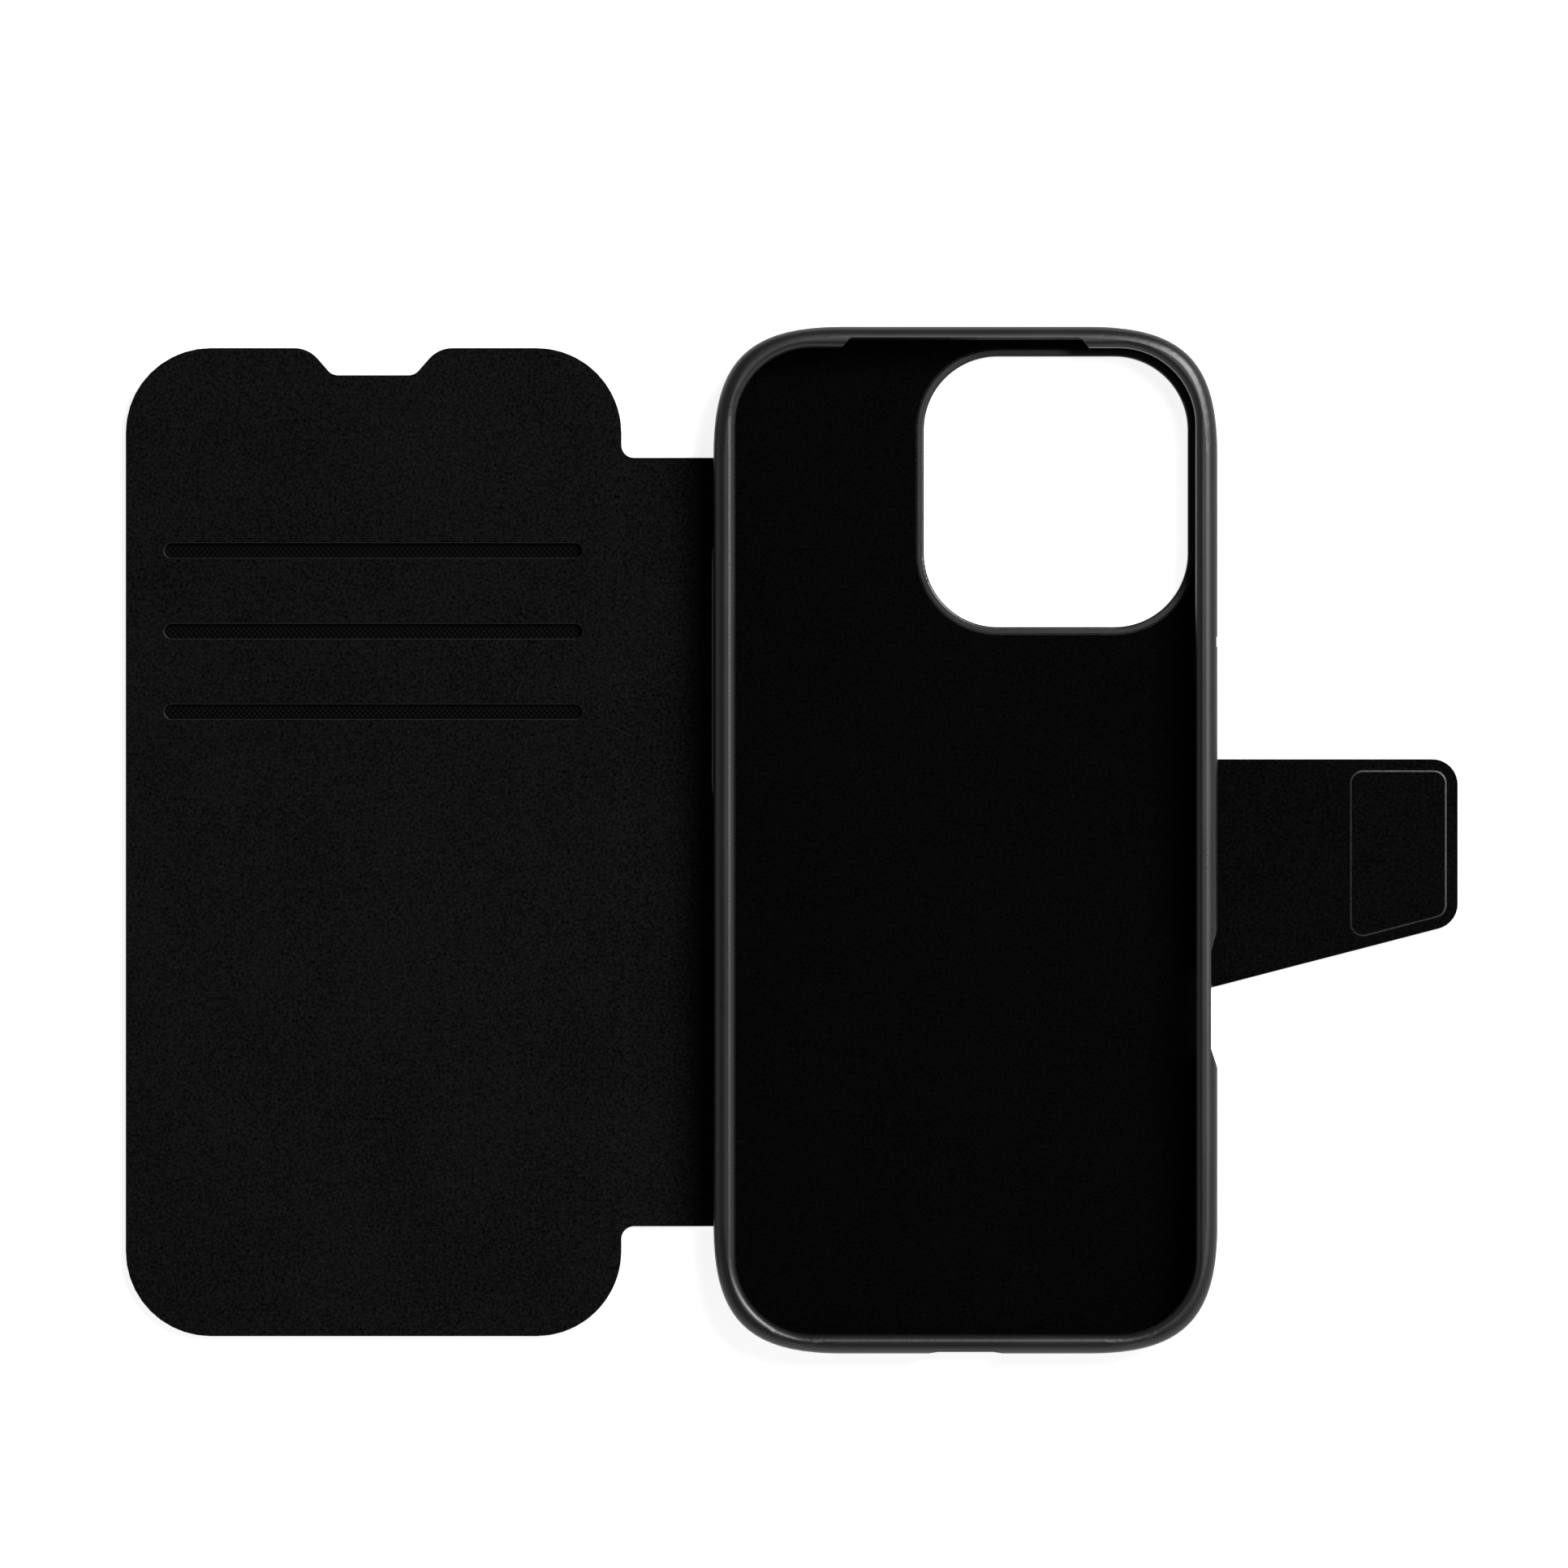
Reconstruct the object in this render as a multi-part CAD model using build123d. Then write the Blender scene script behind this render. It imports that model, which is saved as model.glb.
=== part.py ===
from build123d import *
import os

os.makedirs("parts", exist_ok=True)

# Millimetres. The case lies open on its back: X across it, Y up the phone, Z out of the
# screen. The origin is the centre of the phone shell's back, on the table.

# the phone that the shell holds, and the room around it
PHONE_WIDTH = 71.5
PHONE_HEIGHT = 149.6
PHONE_DEPTH = 8.0
PHONE_GAP = 0.1

# general: room round an inlay, how far a tool or a joined piece reaches past a face, and a
# broken edge
FIT = 0.1
BEYOND = 1.0
EDGE_BREAK = 0.15

# sheet and plate thicknesses, from the table up
SKIN = 0.8
LINING = 0.8
SHELL_PLATE = 1.0
SEAT = 0.4
LIP = 1.2
BOARD = 0.5
POCKET_LAYER = 0.5
TAB_CORE = 1.0

# phone shell
WALL = 1.8
CORNER_TANGENT = 19.0
CORNER_HANDLE = 0.728
CORNER_SHRINK = 1.15
PLATE_INSET = 1.5
SEAT_INSET = WALL + FIT
SKIN_INSET = 1.2
CREST_ROUND = 1.75
FOOT_ROUND = 0.9
LIP_SIDE = 3.3
LIP_BOTTOM = 2.9
LIP_TOP = 3.2
LIP_CORNER = 11.5
LIP_ROUND = 1.1
EAR_HALF_WIDTH = 18.5
EAR_HALF_FLOOR = 17.2
EAR_DEPTH = 1.56
EAR_ROUND = 1.0

SHELL_WIDTH = PHONE_WIDTH + 2 * (PHONE_GAP + WALL)
SHELL_HEIGHT = PHONE_HEIGHT + 2 * (PHONE_GAP + WALL)
SEAT_TOP = SKIN + SHELL_PLATE + SEAT
LIP_BASE = SEAT_TOP + PHONE_DEPTH + PHONE_GAP
SHELL_TOP = LIP_BASE + LIP
HALF_W = SHELL_WIDTH / 2
HALF_H = SHELL_HEIGHT / 2

# camera window, as seen from the screen side
WINDOW_WIDTH = 39.5
WINDOW_HEIGHT = 40.5
WINDOW_CORNER = 11.0
WINDOW_MARGIN = 4.3
GUARD_WALL = 1.2
GUARD_ROUND = 0.3

# side controls
BUTTON_Z = SEAT_TOP + PHONE_DEPTH / 2
BUTTON_TALL = 3.2
BUTTON_ROUND = 1.5
BUTTON_GAP = 0.12
BUTTON_TRAVEL = 0.35
BUTTON_DEPTH = 1.25
FLANGE = 0.4
FLANGE_RIM = 0.8
FLANGE_POCKET = FLANGE + BUTTON_TRAVEL + 0.05
FLANGE_FIT = 0.02
LEFT_PAD = (6.5, 43.8)
LEFT_PAD_PROUD = 0.22
LEFT_PAD_TALL = 6.0
LEFT_PAD_ROUND = 2.95
LEFT_PAD_ROOT = 0.6
LEFT_PROUD = 0.27
RIGHT_PROUD = 0.04
KEYS = {
    "action_button": (-1, 35.6, 42.3),
    "volume_up_button": (-1, 21.5, 33.1),
    "volume_down_button": (-1, 8.0, 19.6),
    "side_button": (1, 10.6, 28.5),
}
RELIEF = (28.9, 30.4)
RELIEF_DEPTH = 0.16
CONTROL_SCOOP = (-34.1, -31.15, -16.6, -13.2)
CONTROL_DEPTH = 0.99
CONTROL_TALL = 4.7
CONTROL_MARGIN = 0.6
PORT_SCOOP = (-5.6, -4.15, 4.15, 5.6)
PORT_DEPTH = 0.25
PORT_WIDTH = 12.6
PORT_TALL = 6.0
SPEAKER_X = 17.0
SPEAKER_WIDTH = 12.0
SPEAKER_TALL = 2.4
WALL_CUT = 6.0

# cover: spine and flap
SPINE_BOTTOM = -57.88
SPINE_TOP = 57.25
COVER_PIVOT_X = -38.6
SPINE_LENGTH = 12.0
SPINE_ROOT_GAP = 0.45
SPINE_FLAP_GAP = 1.25
FLAP_PIVOT_GAP = 0.1
FLAP_NEAR = -51.47
FLAP_FAR = -125.68
FLAP_BOTTOM = -74.31
FLAP_TOP = 73.67
FLAP_CORNER = 12.7
NOTCH_X = -88.6
NOTCH_DEPTH = 4.07
NOTCH_HALF_TOP = 9.73
NOTCH_HALF_FLOOR = 6.19
NOTCH_OUTER_ROUND = 4.6
NOTCH_INNER_ROUND = 2.0
FLAP_PIVOT_X = COVER_PIVOT_X - SPINE_LENGTH
FLAP_TOP_Z = SKIN + BOARD + POCKET_LAYER + LINING

# card pockets
SLOT_X = -88.6
SLOT_WIDTH = 62.5
SLOT_TALL = 2.14
SLOT_Y = (43.36, 31.27, 19.21)
POCKET_WIDTH = 66.0
POCKET_DEPTH = 76.0
POCKET_LAP = 3.0
POCKET_SHEET = 0.15
POCKET_ROOM = 0.2
STEEL_PLATE = (-124.2, -110.4, -12.0, 9.0)
STEEL_ROUND = 2.0

# closing strap
STRAP_PIVOT_X = 38.7
STRAP_SIDE_LENGTH = 15.7
STRAP_GAP = 0.1
TAB_GAP = 0.9
STRAP_TOP = 12.1
STRAP_TIP = 73.78
STRAP_LOW_X = 37.05
STRAP_LOW_Y = -22.09
STRAP_SLOPE = 0.2602
STRAP_ROUND = 3.8
TAB_ROOT_ROUND = 0.3
PATCH_NEAR = 57.77
PATCH_INSET = 1.8
PATCH_ROUND = 1.8
TAB_PIVOT_X = STRAP_PIVOT_X + STRAP_SIDE_LENGTH
TAB_TOP_Z = SKIN + TAB_CORE + LINING


def slab(face, low, high):
    """A flat face of the XY plane, made solid from height low to height high."""
    return extrude(Pos(0, 0, low) * face, high - low)


def outline(corners):
    """A closed face through (x, y, corner radius) points."""
    points = [(x, y) for x, y, _ in corners]
    radii = [r for *_, r in corners]
    return make_face(FilletPolyline(*points, radius=radii, close=True))


def box(x, y, z):
    """A block between two values along each axis."""
    size = [high - low for low, high in (x, y, z)]
    return Pos(x[0], y[0], z[0]) * Box(*size, align=(Align.MIN,) * 3)


def shell_outline(inset):
    """The shell's outline, whose corners ease into the sides, drawn in by inset."""
    w = HALF_W - inset
    h = HALF_H - inset
    tangent = CORNER_TANGENT - CORNER_SHRINK * inset
    tip = tangent * (1 - CORNER_HANDLE)
    edges = []
    for sx, sy in ((1, 1), (-1, 1), (-1, -1), (1, -1)):
        on_side = (sx * w, sy * (h - tangent))
        on_end = (sx * (w - tangent), sy * h)
        pull_side = (sx * w, sy * (h - tip))
        pull_end = (sx * (w - tip), sy * h)
        bend = [on_side, pull_side, pull_end, on_end]
        if sx * sy < 0:
            bend.reverse()
        edges.append(bend)
    curves = []
    for i, bend in enumerate(edges):
        curves.append(Bezier(*bend))
        curves.append(Line(bend[-1], edges[(i + 1) % 4][0]))
    return make_face(curves)


def mouth_face():
    """The opening over the screen."""
    side = HALF_W - LIP_SIDE
    low = LIP_BOTTOM - HALF_H
    high = HALF_H - LIP_TOP
    corners = ((-side, low), (side, low), (side, high), (-side, high))
    return outline([(x, y, LIP_CORNER) for x, y in corners])


def earpiece_face():
    """A wider stretch of the opening, at the phone's earpiece."""
    low = HALF_H - LIP_TOP
    high = low + EAR_DEPTH
    return outline([
        (EAR_HALF_WIDTH, low - EAR_ROUND, 0),
        (EAR_HALF_WIDTH, low, EAR_ROUND),
        (EAR_HALF_FLOOR, high, EAR_ROUND),
        (-EAR_HALF_FLOOR, high, EAR_ROUND),
        (-EAR_HALF_WIDTH, low, EAR_ROUND),
        (-EAR_HALF_WIDTH, low - EAR_ROUND, 0),
    ])


def window_face(grow):
    """The camera window's outline, or the hole that its guard sits in."""
    x = HALF_W - WINDOW_MARGIN - WINDOW_WIDTH / 2
    y = HALF_H - WINDOW_MARGIN - WINDOW_HEIGHT / 2
    size = (WINDOW_WIDTH + 2 * grow, WINDOW_HEIGHT + 2 * grow)
    return Pos(x, y) * RectangleRounded(*size, WINDOW_CORNER + grow)


def lens_hole():
    """A cutting tool for the camera window, guard included, through every layer of the back."""
    return slab(window_face(GUARD_WALL), -BEYOND, SHELL_TOP)


def scoop(stations, depth, wall):
    """A shallow trapezoid cut, drawn on the +X side and as deep as the shell is thick."""
    a, b, c, d = stations
    outside = wall + BEYOND
    floor = wall - depth
    points = [(outside, a), (wall, a), (floor, b), (floor, c), (wall, d), (outside, d)]
    return slab(make_face(Polyline(*points, close=True)), -BEYOND, SHELL_TOP + BEYOND)


def wall_block(place, width, tall, depth, round_end):
    """A rounded block along X, centred at place and at the height of the keys."""
    x, y = place
    start = Plane(origin=(x - depth / 2, y, BUTTON_Z), x_dir=(0, 1, 0), z_dir=(1, 0, 0))
    return extrude(start * RectangleRounded(width, tall, round_end), depth)


def end_slot(x, width, tall):
    """A rounded slot through the low end wall."""
    round_end = min(tall / 2 - EDGE_BREAK, BUTTON_ROUND)
    slot = wall_block((HALF_H, 0), width, tall, WALL_CUT, round_end)
    return Pos(x, 0) * Rot(0, 0, -90) * slot


def key_block(key, grow, near, far):
    """The room of a key's cap between two depths under the outer wall face."""
    side, low, high = key
    x = side * (HALF_W - (near + far) / 2)
    size = (high - low + 2 * grow, BUTTON_TALL + 2 * grow)
    return wall_block((x, (low + high) / 2), *size, far - near, BUTTON_ROUND)


def key_holes():
    """For each key, a hole for its cap and a wider pocket for its flange."""
    holes = []
    for key in KEYS.values():
        holes.append(key_block(key, BUTTON_GAP, -BEYOND, WALL_CUT / 2))
        holes.append(key_block(key, FLANGE_RIM + BUTTON_GAP, WALL - FLANGE_POCKET, WALL_CUT / 2))
    return holes


def button(key):
    """A key cap through the wall, with a thin flange that keeps it from falling out."""
    side = key[0]
    proud = LEFT_PROUD if side < 0 else RIGHT_PROUD
    near = WALL - FLANGE_POCKET + FLANGE_FIT
    cap = key_block(key, 0, -proud, BUTTON_DEPTH)
    outer = cap.faces().sort_by(Axis.X)[-1 if side > 0 else 0]
    cap = fillet(outer.edges(), EDGE_BREAK)
    return cap + key_block(key, FLANGE_RIM, near, near + FLANGE)


def left_pad():
    """The slightly raised field around the three left keys."""
    low, high = LEFT_PAD
    depth = LEFT_PAD_PROUD + LEFT_PAD_ROOT
    x = -(HALF_W + LEFT_PAD_PROUD) + depth / 2
    pad = wall_block((x, (low + high) / 2), high - low, LEFT_PAD_TALL, depth, LEFT_PAD_ROUND)
    return chamfer(pad.faces().sort_by(Axis.X)[0].edges(), EDGE_BREAK)


def bumper_body():
    """The ring before its holes: a wall with a rounded foot, and a lip rolled over the screen."""
    ring = slab(shell_outline(0), SKIN, SHELL_TOP)
    ring = fillet(ring.faces().sort_by(Axis.Z)[-1].edges(), CREST_ROUND)
    ring = fillet(ring.faces().sort_by(Axis.Z)[0].edges(), FOOT_ROUND)
    ring = ring - slab(shell_outline(PLATE_INSET), 0, SKIN + SHELL_PLATE)
    ring = ring - slab(shell_outline(WALL), SKIN, LIP_BASE)
    ring = ring - slab(mouth_face(), SKIN, SHELL_TOP + BEYOND)
    ring = fillet(ring.faces().sort_by(Axis.Z)[-1].inner_wires()[0].edges(), LIP_ROUND)
    return ring - slab(earpiece_face(), LIP_BASE - BEYOND, SHELL_TOP + BEYOND)


def bumper_frame():
    """The soft ring with its keys' holes, ports and finger scoops."""
    ring = bumper_body() + left_pad()
    for tool in key_holes():
        ring = ring - tool
    ring = ring - scoop(CONTROL_SCOOP, CONTROL_DEPTH, HALF_W)
    ring = ring - Rot(0, 0, -90) * scoop(PORT_SCOOP, PORT_DEPTH, HALF_H)
    control_y = (CONTROL_SCOOP[1] + CONTROL_SCOOP[2]) / 2
    control_width = CONTROL_SCOOP[2] - CONTROL_SCOOP[1] - 2 * CONTROL_MARGIN
    ring = ring - wall_block((HALF_W, control_y), control_width, CONTROL_TALL, WALL_CUT, BUTTON_ROUND)
    ring = ring - end_slot(0, PORT_WIDTH, PORT_TALL)
    for x in (-SPEAKER_X, SPEAKER_X):
        ring = ring - end_slot(x, SPEAKER_WIDTH, SPEAKER_TALL)
    relief_x = (HALF_W - RELIEF_DEPTH, HALF_W + BEYOND)
    return ring - box(relief_x, RELIEF, (0, SHELL_TOP + BEYOND))


def shell_back():
    """The stiff plate across the back of the ring."""
    return slab(shell_outline(PLATE_INSET), SKIN, SKIN + SHELL_PLATE) - lens_hole()


def seat_lining():
    """The soft sheet that the phone lies on."""
    return slab(shell_outline(SEAT_INSET), SKIN + SHELL_PLATE, SEAT_TOP) - lens_hole()


def camera_guard():
    """The ring that lines the camera window, with rounded rims."""
    ring = slab(window_face(GUARD_WALL) - window_face(0), 0, SEAT_TOP)
    faces = ring.faces().sort_by(Axis.Z)
    return fillet(faces[0].edges() + faces[-1].edges(), GUARD_ROUND)


def strap_low(x):
    """Height of the strap's slanting lower edge."""
    return STRAP_LOW_Y + (x - STRAP_LOW_X) * STRAP_SLOPE


def back_skin():
    """The outer leather under the shell, with a tongue for the spine and one for the strap."""
    left_edge = COVER_PIVOT_X + SKIN_INSET + FIT
    right_edge = STRAP_PIVOT_X - SKIN_INSET - FIT
    panel = shell_outline(SKIN_INSET)
    spine_tongue = make_face(Polyline(
        (left_edge, SPINE_BOTTOM),
        (0, SPINE_BOTTOM),
        (0, SPINE_TOP),
        (left_edge, SPINE_TOP),
        close=True,
    ))
    strap_tongue = make_face(Polyline(
        (0, STRAP_LOW_Y),
        (right_edge, strap_low(right_edge)),
        (right_edge, STRAP_TOP),
        (0, STRAP_TOP),
        close=True,
    ))
    return slab(panel + spine_tongue + strap_tongue, 0, SKIN) - lens_hole()


def spine_face():
    """The spine between its two folds."""
    left = FLAP_PIVOT_X + SPINE_FLAP_GAP
    right = COVER_PIVOT_X - SPINE_ROOT_GAP
    middle = Pos((left + right) / 2, (SPINE_BOTTOM + SPINE_TOP) / 2)
    return middle * Rectangle(right - left, SPINE_TOP - SPINE_BOTTOM)


def flap_face():
    """The flap's outline, with the earpiece notch in its top edge."""
    floor = FLAP_TOP - NOTCH_DEPTH
    return outline([
        (FLAP_FAR, FLAP_BOTTOM, FLAP_CORNER),
        (FLAP_NEAR, FLAP_BOTTOM, FLAP_CORNER),
        (FLAP_NEAR, FLAP_TOP, FLAP_CORNER),
        (NOTCH_X + NOTCH_HALF_TOP, FLAP_TOP, NOTCH_OUTER_ROUND),
        (NOTCH_X + NOTCH_HALF_FLOOR, floor, NOTCH_INNER_ROUND),
        (NOTCH_X - NOTCH_HALF_FLOOR, floor, NOTCH_INNER_ROUND),
        (NOTCH_X - NOTCH_HALF_TOP, FLAP_TOP, NOTCH_OUTER_ROUND),
        (FLAP_FAR, FLAP_TOP, FLAP_CORNER),
    ])


def flap_skin():
    """The outer leather of the flap, with a neck that reaches to the fold at the spine."""
    neck = box((FLAP_NEAR - BEYOND, FLAP_PIVOT_X - FLAP_PIVOT_GAP), (SPINE_BOTTOM, SPINE_TOP), (0, SKIN))
    return slab(flap_face(), 0, SKIN) + neck


def steel_face(grow):
    """The plate that the strap's magnet holds to, or the hole that it lies in."""
    x0, x1, y0, y1 = STEEL_PLATE
    place = Pos((x0 + x1) / 2, (y0 + y1) / 2)
    return place * RectangleRounded(x1 - x0 + 2 * grow, y1 - y0 + 2 * grow, STEEL_ROUND)


def pocket_block(top, bottom, half, low, high):
    """A block centred on the slots, between two heights and two ends."""
    return box((SLOT_X - half, SLOT_X + half), (bottom, top), (low, high))


def pocket_sheet(slot_y, rank):
    """The woven sheet behind one slot, that a card slides down along."""
    low = SKIN + BOARD + rank * POCKET_SHEET
    top = slot_y + POCKET_LAP
    return pocket_block(top, slot_y - POCKET_DEPTH, POCKET_WIDTH / 2, low, low + POCKET_SHEET)


def pocket_frame():
    """The layer that keeps room for the pocket sheets and the cards."""
    low = SKIN + BOARD
    top = SLOT_Y[0] + POCKET_LAP + POCKET_ROOM
    bottom = SLOT_Y[-1] - POCKET_DEPTH - POCKET_ROOM
    half = POCKET_WIDTH / 2 + POCKET_ROOM
    room = pocket_block(top, bottom, half, low, low + POCKET_LAYER)
    return slab(flap_face(), low, low + POCKET_LAYER) - room


def flap_lining():
    """The inner face of the flap, with the three card slots cut through it."""
    low = FLAP_TOP_Z - LINING
    sheet = slab(flap_face(), low, FLAP_TOP_Z)
    for y in SLOT_Y:
        slot = Pos(SLOT_X, y) * SlotOverall(SLOT_WIDTH, SLOT_TALL)
        sheet = sheet - slab(slot, low - BEYOND, FLAP_TOP_Z + BEYOND)
    return sheet


def flap_board():
    """The flap's stiffener, cut out round the steel plate."""
    steel = slab(steel_face(FIT), 0, SKIN + BOARD + BEYOND)
    return slab(flap_face(), SKIN, SKIN + BOARD) - steel


def bridge_face():
    """The strap between its two folds, beside the shell."""
    left = STRAP_PIVOT_X + STRAP_GAP
    right = TAB_PIVOT_X - STRAP_GAP
    return make_face(Polyline(
        (left, strap_low(left)),
        (right, strap_low(right)),
        (right, STRAP_TOP),
        (left, STRAP_TOP),
        close=True,
    ))


def tab_face():
    """The strap's end beyond its second fold."""
    left = TAB_PIVOT_X + TAB_GAP
    return outline([
        (left, strap_low(left), TAB_ROOT_ROUND),
        (STRAP_TIP, strap_low(STRAP_TIP), STRAP_ROUND),
        (STRAP_TIP, STRAP_TOP, STRAP_ROUND),
        (left, STRAP_TOP, TAB_ROOT_ROUND),
    ])


def magnet_face(grow):
    """The magnet, a fixed margin inside the strap's edge, or the hole that it lies in."""
    left = PATCH_NEAR - grow
    right = STRAP_TIP - PATCH_INSET + grow
    top = STRAP_TOP - PATCH_INSET + grow
    drop = (PATCH_INSET - grow) * (1 + STRAP_SLOPE**2) ** 0.5
    return outline([
        (left, strap_low(left) + drop, PATCH_ROUND),
        (right, strap_low(right) + drop, PATCH_ROUND),
        (right, top, PATCH_ROUND),
        (left, top, PATCH_ROUND),
    ])


def tab_core():
    """The stiff filler round the magnet."""
    low = SKIN
    high = SKIN + TAB_CORE
    return slab(tab_face(), low, high) - slab(magnet_face(FIT), low - BEYOND, high + BEYOND)


def write(name, solid):
    """Saves one piece of the case under its name."""
    export_step(solid, f"parts/{name}.step")


write("bumper_frame", bumper_frame())
write("shell_back_plate", shell_back())
write("seat_lining", seat_lining())
write("camera_guard", camera_guard())
write("back_skin", back_skin())
write("spine_skin", slab(spine_face(), 0, SKIN))
write("spine_lining", slab(spine_face(), SKIN, SKIN + LINING))
write("flap_skin", flap_skin())
write("flap_board", flap_board())
write("flap_steel_plate", slab(steel_face(0), SKIN, SKIN + BOARD))
write("pocket_frame", pocket_frame())
write("card_pocket_top", pocket_sheet(SLOT_Y[0], 0))
write("card_pocket_middle", pocket_sheet(SLOT_Y[1], 1))
write("card_pocket_bottom", pocket_sheet(SLOT_Y[2], 2))
write("flap_lining", flap_lining())
write("strap_bridge_skin", slab(bridge_face(), 0, SKIN))
write("strap_bridge_lining", slab(bridge_face(), SKIN, SKIN + LINING))
write("strap_tab_skin", slab(tab_face(), 0, SKIN))
write("strap_tab_core", tab_core())
write("strap_magnet", slab(magnet_face(0), SKIN, SKIN + TAB_CORE))
write("strap_tab_lining", slab(tab_face(), TAB_TOP_Z - LINING, TAB_TOP_Z))
for name, key in KEYS.items():
    write(name, button(key))
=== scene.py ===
import math

import bmesh
import bpy
import numpy as np
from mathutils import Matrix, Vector, noise
from mathutils.geometry import delaunay_2d_cdt


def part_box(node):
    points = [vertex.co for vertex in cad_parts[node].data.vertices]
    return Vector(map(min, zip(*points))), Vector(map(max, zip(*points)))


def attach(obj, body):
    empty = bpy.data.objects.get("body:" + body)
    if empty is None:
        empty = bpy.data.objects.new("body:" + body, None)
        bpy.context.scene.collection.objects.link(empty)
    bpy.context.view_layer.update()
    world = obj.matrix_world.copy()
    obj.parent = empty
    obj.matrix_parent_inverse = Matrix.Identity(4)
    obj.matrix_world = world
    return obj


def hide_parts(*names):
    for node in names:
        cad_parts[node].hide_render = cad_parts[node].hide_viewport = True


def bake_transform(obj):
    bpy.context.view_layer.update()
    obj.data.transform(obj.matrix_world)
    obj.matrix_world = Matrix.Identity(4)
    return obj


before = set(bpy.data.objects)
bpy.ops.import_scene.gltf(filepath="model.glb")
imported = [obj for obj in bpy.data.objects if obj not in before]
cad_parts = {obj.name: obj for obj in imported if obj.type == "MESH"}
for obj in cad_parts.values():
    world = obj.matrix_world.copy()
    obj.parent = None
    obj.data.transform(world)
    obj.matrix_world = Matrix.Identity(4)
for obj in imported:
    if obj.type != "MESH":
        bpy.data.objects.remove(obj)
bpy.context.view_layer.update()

MM = 0.001

# ---------------------------------------------------------------- driving values, in metres

# the camera looks straight down at the open case
CAMERA_HEIGHT = 3.0
FRAME_WIDTH = 234.78 * MM
VIEW_CENTRE = (-27.11 * MM, 8.38 * MM)
SENSOR = 36

# how finely the sheets are drawn
ARC_STEP = math.radians(9)
EASE_STEPS = 24
SIDE_STEP = 2.2 * MM
GRID_STEP = 2.4 * MM
FOLD_STEP = 0.4 * MM
CLEAR = 0.45 * MM
SAME_PLACE = 0.001 * MM
BATCH = 256

# for delaunay_2d_cdt: keep what is inside the outer loop, and what counts as one point, in mm
INSIDE_LOOPS = 1
EPSILON = 1e-5

# cut edges of the sheets: how round they are, the flat strip beside them, and the share of a
# thin place that an edge may take up
SKIN_EDGE = 0.25 * MM
LINING_EDGE = 0.24 * MM
SLOT_EDGE = 0.14 * MM
SEAT_EDGE = 0.12 * MM
POCKET_EDGE = 0.05 * MM
EDGE_GUARD = 0.3 * MM
MOST_LIFT = 0.45
EDGE_ANGLES = (0, 30, 60, 90)

# flap and spine outline
FLAP_CORNER = 12.7 * MM
STEP_ROUND = 1.9 * MM
NOTCH_DEPTH = 4.07 * MM
NOTCH_HALF_TOP = 9.73 * MM
NOTCH_HALF_FLOOR = 6.19 * MM
NOTCH_OUTER_ROUND = 4.6 * MM
NOTCH_INNER_ROUND = 2.0 * MM
TINY_ROUND = 0.9 * MM
TONGUE_ROUND = 0.8 * MM

# shell corners, which ease into its sides
SHELL_TANGENT = 19.0 * MM
SHELL_HANDLE = 0.728
SHELL_SHRINK = 1.15
SKIN_INSET = 1.2 * MM
SEAT_INSET = 1.9 * MM
WINDOW_CORNER = 12.2 * MM

# card slots
SLOT_X = -88.6 * MM
SLOT_HALF = 31.25 * MM
SLOT_TALL = 2.14 * MM
SLOT_END = 0.98
SLOTS_Y = (43.36 * MM, 31.27 * MM, 19.21 * MM)
POCKET_CORNER = 0.5 * MM

# strap
STRAP_ROUND = 3.8 * MM
STRAP_LOW_X = 37.05 * MM
STRAP_LOW_Y = -22.09 * MM
STRAP_SLOPE = 0.2602

# the line over the magnet: a small ridge, steep outside and fading inwards
PATCH_ROUND = 1.8 * MM
PRESS_WIDTH = 0.24 * MM
PRESS_DEPTH = 0.1 * MM
PRESS_FADE = 0.7 * MM

# where the continuous sheets are divided, on the spine and on the strap
SPINE_SPLIT = -47.2 * MM
SHELL_SPLIT = 36.9 * MM
STRAP_SPLIT = 47.4 * MM

# each fold: where the sheet passes from one body to the next, which gets closer vertices
FLAP_FOLD = (-51.5 * MM, -47.5 * MM)
ROOT_FOLD = (-42.2 * MM, -37.6 * MM)
STRAP_FOLD = (37.9 * MM, 41.6 * MM)
TIP_FOLD = (51.4 * MM, 55.3 * MM)

# slopes in a lining, from start to end beside the edge that they belong to: where its top comes
# down from the thicker flap or strap end, where its underside does, and where it slips in under
# the shell's wall
FLAP_SLOPE = (-3.0 * MM, 2.6 * MM)
FLAP_UNDER_SLOPE = (0.1 * MM, 1.5 * MM)
TIP_SLOPE = (-6.8 * MM, 3.2 * MM)
TIP_UNDER_SLOPE = (-1.5 * MM, -0.1 * MM)
TUCK_SLOPE = (-1.1 * MM, 0.35 * MM)
TUCK = 1.0 * MM
TUCKED_THICKNESS = 0.16 * MM

# a glued sheet's unevenness, which fades away beside the shell's wall
RIPPLE = 0.035 * MM
RIPPLE_LENGTH = 16 * MM
RIPPLE_FADE = 2 * MM

# the woven sheets' thread pitch
WEAVE_ACROSS = 0.79 * MM
WEAVE_ALONG = 0.85 * MM

# the middle of a noise's range, where most of its values are
MIDDLE = (0.3, 0.7)

# studio
KEY_PLACE = (0.67, 0.58, 1.36)
KEY_SIZE = (0.54, 0.96)
KEY_POWER = 62
SKY_STRENGTH = 1.1
SKY_TO_THE_BACK = -0.9
SKY_TO_THE_RIGHT = 0.3
FLOOR_HALF = 3.0
FLOOR_DROP = 0.2 * MM
FLOOR_GLOW = 0.85


# ---------------------------------------------------------------- outlines


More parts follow.
